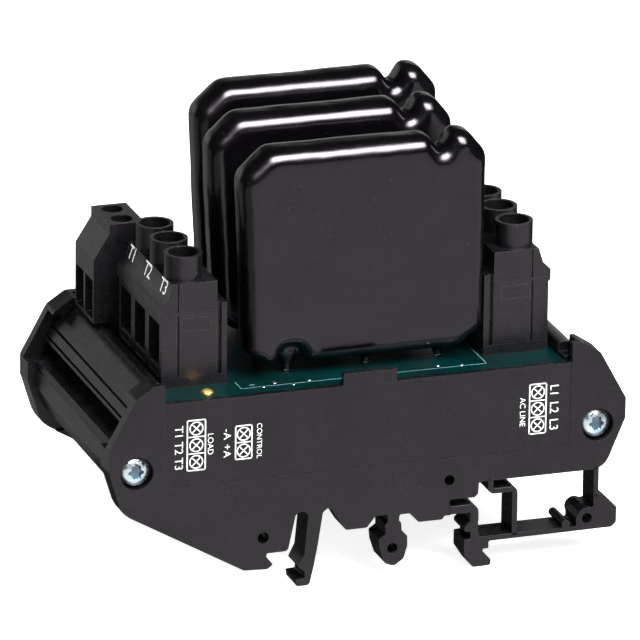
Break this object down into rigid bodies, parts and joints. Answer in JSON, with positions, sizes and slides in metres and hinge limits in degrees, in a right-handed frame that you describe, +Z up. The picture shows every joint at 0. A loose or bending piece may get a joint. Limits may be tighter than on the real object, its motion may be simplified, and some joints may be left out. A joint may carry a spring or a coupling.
{
  "type": "solid state relay",
  "caption": "Open-board solid state relay: dip-coated power modules and screw terminal blocks on a circuit board, in a moulded carrier that clips onto a top-hat rail.",
  "frame": {"origin": "middle of the 35 mm rail, level with the top faces of the rail's flanges, halfway between the outer faces of the two side plates", "axes": "+X across the rail towards the latch side, +Y along the rail from the labelled end plate to the other, +Z up away from the rail"},
  "size_m": [0.0898, 0.0496, 0.0745],
  "materials": {
    "carrier_plastic": "satin moulded black",
    "terminal_plastic": "fine matt black",
    "board_laminate": "glossy green solder mask",
    "module_coating": "glossy dip coat",
    "module_ceramic": "matt fired ceramic",
    "tinned_copper": "bright tin",
    "clamp_steel": "plated",
    "zinc_screw": "bright zinc plate"
  },
  "bodies": {
    "carrier": {"housing_profile": "carrier_plastic", "front_side_plate": "carrier_plastic", "rear_side_plate": "carrier_plastic", "plate_screw_front_left": "zinc_screw", "plate_screw_front_right": "zinc_screw", "plate_screw_rear_left": "zinc_screw", "plate_screw_rear_right": "zinc_screw", "front_latch_stem_web": "carrier_plastic", "front_latch_spring_loop": "carrier_plastic", "front_latch_strut": "carrier_plastic", "rear_latch_stem_web": "carrier_plastic", "rear_latch_spring_loop": "carrier_plastic", "rear_latch_strut": "carrier_plastic", "circuit_board": "board_laminate", "power_module_front": "module_coating", "power_module_middle": "module_coating", "power_module_rear": "module_coating", "module_substrate_front": "module_ceramic", "module_substrate_middle": "module_ceramic", "module_substrate_rear": "module_ceramic", "module_lead_front_left": "tinned_copper", "module_lead_front_centre": "tinned_copper", "module_lead_front_right": "tinned_copper", "module_lead_middle_left": "tinned_copper", "module_lead_middle_centre": "tinned_copper", "module_lead_middle_right": "tinned_copper", "module_lead_rear_left": "tinned_copper", "module_lead_rear_centre": "tinned_copper", "module_lead_rear_right": "tinned_copper", "load_terminal_housing": "terminal_plastic", "line_terminal_housing": "terminal_plastic", "control_terminal_housing": "terminal_plastic", "load_terminal_contact_1": "clamp_steel", "load_terminal_contact_2": "clamp_steel", "load_terminal_contact_3": "clamp_steel", "line_terminal_contact_1": "clamp_steel", "line_terminal_contact_2": "clamp_steel", "line_terminal_contact_3": "clamp_steel", "control_terminal_contact_1": "clamp_steel", "control_terminal_contact_2": "clamp_steel"},
    "front_latch": {"front_rail_latch": "carrier_plastic"},
    "rear_latch": {"rear_rail_latch": "carrier_plastic"},
    "load_screw_1": {"load_terminal_screw_1": "zinc_screw"},
    "load_clamp_1": {"load_terminal_clamp_cage_1": "clamp_steel"},
    "load_screw_2": {"load_terminal_screw_2": "zinc_screw"},
    "load_clamp_2": {"load_terminal_clamp_cage_2": "clamp_steel"},
    "load_screw_3": {"load_terminal_screw_3": "zinc_screw"},
    "load_clamp_3": {"load_terminal_clamp_cage_3": "clamp_steel"},
    "line_screw_1": {"line_terminal_screw_1": "zinc_screw"},
    "line_clamp_1": {"line_terminal_clamp_cage_1": "clamp_steel"},
    "line_screw_2": {"line_terminal_screw_2": "zinc_screw"},
    "line_clamp_2": {"line_terminal_clamp_cage_2": "clamp_steel"},
    "line_screw_3": {"line_terminal_screw_3": "zinc_screw"},
    "line_clamp_3": {"line_terminal_clamp_cage_3": "clamp_steel"},
    "control_screw_1": {"control_terminal_screw_1": "zinc_screw"},
    "control_clamp_1": {"control_terminal_clamp_cage_1": "clamp_steel"},
    "control_screw_2": {"control_terminal_screw_2": "zinc_screw"},
    "control_clamp_2": {"control_terminal_clamp_cage_2": "clamp_steel"}
  },
  "joints": [
    {"name": "front_latch_pull", "type": "slide", "parent": "carrier", "child": "front_latch", "axis": [1, 0, 0], "range_m": [0, 0.0015], "stiffness_N_per_m": 4000, "deforming": ["front_latch_stem_web", "front_latch_spring_loop", "front_latch_strut"]},
    {"name": "rear_latch_pull", "type": "slide", "parent": "carrier", "child": "rear_latch", "axis": [1, 0, 0], "range_m": [0, 0.0015], "stiffness_N_per_m": 4000, "deforming": ["rear_latch_stem_web", "rear_latch_spring_loop", "rear_latch_strut"]},
    {"name": "load_screw_1_turn", "type": "hinge", "parent": "carrier", "child": "load_screw_1", "pos_m": [-0.0287, -0.01334, 0.041], "axis": [0, 0, -1], "range_deg": [0, 2160]},
    {"name": "load_clamp_1_rise", "type": "slide", "parent": "carrier", "child": "load_clamp_1", "axis": [0, 0, 1], "range_m": [0, 0.0027]},
    {"name": "load_screw_2_turn", "type": "hinge", "parent": "carrier", "child": "load_screw_2", "pos_m": [-0.0287, -0.00572, 0.041], "axis": [0, 0, -1], "range_deg": [0, 2160]},
    {"name": "load_clamp_2_rise", "type": "slide", "parent": "carrier", "child": "load_clamp_2", "axis": [0, 0, 1], "range_m": [0, 0.0027]},
    {"name": "load_screw_3_turn", "type": "hinge", "parent": "carrier", "child": "load_screw_3", "pos_m": [-0.0287, 0.0019, 0.041], "axis": [0, 0, -1], "range_deg": [0, 2160]},
    {"name": "load_clamp_3_rise", "type": "slide", "parent": "carrier", "child": "load_clamp_3", "axis": [0, 0, 1], "range_m": [0, 0.0027]},
    {"name": "line_screw_1_turn", "type": "hinge", "parent": "carrier", "child": "line_screw_1", "pos_m": [0.0287, -0.01334, 0.041], "axis": [0, 0, -1], "range_deg": [0, 2160]},
    {"name": "line_clamp_1_rise", "type": "slide", "parent": "carrier", "child": "line_clamp_1", "axis": [0, 0, 1], "range_m": [0, 0.0027]},
    {"name": "line_screw_2_turn", "type": "hinge", "parent": "carrier", "child": "line_screw_2", "pos_m": [0.0287, -0.00572, 0.041], "axis": [0, 0, -1], "range_deg": [0, 2160]},
    {"name": "line_clamp_2_rise", "type": "slide", "parent": "carrier", "child": "line_clamp_2", "axis": [0, 0, 1], "range_m": [0, 0.0027]},
    {"name": "line_screw_3_turn", "type": "hinge", "parent": "carrier", "child": "line_screw_3", "pos_m": [0.0287, 0.0019, 0.041], "axis": [0, 0, -1], "range_deg": [0, 2160]},
    {"name": "line_clamp_3_rise", "type": "slide", "parent": "carrier", "child": "line_clamp_3", "axis": [0, 0, 1], "range_m": [0, 0.0027]},
    {"name": "control_screw_1_turn", "type": "hinge", "parent": "carrier", "child": "control_screw_1", "pos_m": [-0.0315, 0.01119, 0.0397], "axis": [0, 0, -1], "range_deg": [0, 2160]},
    {"name": "control_clamp_1_rise", "type": "slide", "parent": "carrier", "child": "control_clamp_1", "axis": [0, 0, 1], "range_m": [0, 0.0024]},
    {"name": "control_screw_2_turn", "type": "hinge", "parent": "carrier", "child": "control_screw_2", "pos_m": [-0.0315, 0.01627, 0.0397], "axis": [0, 0, -1], "range_deg": [0, 2160]},
    {"name": "control_clamp_2_rise", "type": "slide", "parent": "carrier", "child": "control_clamp_2", "axis": [0, 0, 1], "range_m": [0, 0.0024]}
  ],
  "couplings": [
    {"joint": "load_screw_1_turn", "follows": "load_clamp_1_rise", "rad_per_m": 13963},
    {"joint": "load_screw_2_turn", "follows": "load_clamp_2_rise", "rad_per_m": 13963},
    {"joint": "load_screw_3_turn", "follows": "load_clamp_3_rise", "rad_per_m": 13963},
    {"joint": "line_screw_1_turn", "follows": "line_clamp_1_rise", "rad_per_m": 13963},
    {"joint": "line_screw_2_turn", "follows": "line_clamp_2_rise", "rad_per_m": 13963},
    {"joint": "line_screw_3_turn", "follows": "line_clamp_3_rise", "rad_per_m": 13963},
    {"joint": "control_screw_1_turn", "follows": "control_clamp_1_rise", "rad_per_m": 15708},
    {"joint": "control_screw_2_turn", "follows": "control_clamp_2_rise", "rad_per_m": 15708}
  ]
}
